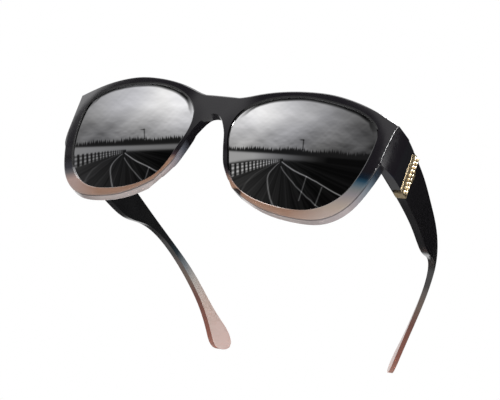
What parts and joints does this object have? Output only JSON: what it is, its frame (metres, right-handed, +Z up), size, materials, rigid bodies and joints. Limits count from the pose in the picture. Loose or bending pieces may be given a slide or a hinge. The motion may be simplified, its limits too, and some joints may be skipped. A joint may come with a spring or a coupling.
{
  "type": "fitover sunglasses",
  "caption": "Wide wrap-round fitover sunglasses with mirrored lenses, moulded side wings and nose pads, gilt temple ornaments and folding temples on metal hinges.",
  "frame": {"origin": "on the plane of symmetry, on the table that the lower rims and temple tips rest on, midway between the front of the bridge and the temple tips", "axes": "+X towards the wearer's left, -Y the way the wearer looks, +Z up; the temples are open"},
  "size_m": [0.1598, 0.1473, 0.0581],
  "materials": {
    "frame_plastic": "satin injection-moulded frame plastic, black shading to clear blush at the lower rims and temple tips",
    "lens": "neutral dark grey polarised lens with a mirrored face",
    "hinge_steel": "plated steel hinge",
    "gilt": "polished gilt casting"
  },
  "bodies": {
    "front": {"front_frame": "frame_plastic", "lens_left": "lens", "lens_right": "lens", "hinge_front_leaf_left": "hinge_steel", "hinge_front_leaf_right": "hinge_steel", "hinge_screw_left": "hinge_steel", "hinge_screw_right": "hinge_steel"},
    "left_temple": {"temple_left": "frame_plastic", "hinge_temple_leaf_left": "hinge_steel", "ornament_left": "gilt"},
    "right_temple": {"temple_right": "frame_plastic", "hinge_temple_leaf_right": "hinge_steel", "ornament_right": "gilt"}
  },
  "joints": [
    {"name": "left_temple_fold", "type": "hinge", "parent": "front", "child": "left_temple", "pos_m": [0.0716, -0.04587, 0.037], "axis": [0, 0, 1], "range_deg": [0, 80]},
    {"name": "right_temple_fold", "type": "hinge", "parent": "front", "child": "right_temple", "pos_m": [-0.0716, -0.04587, 0.037], "axis": [0, 0, -1], "range_deg": [0, 73]}
  ]
}
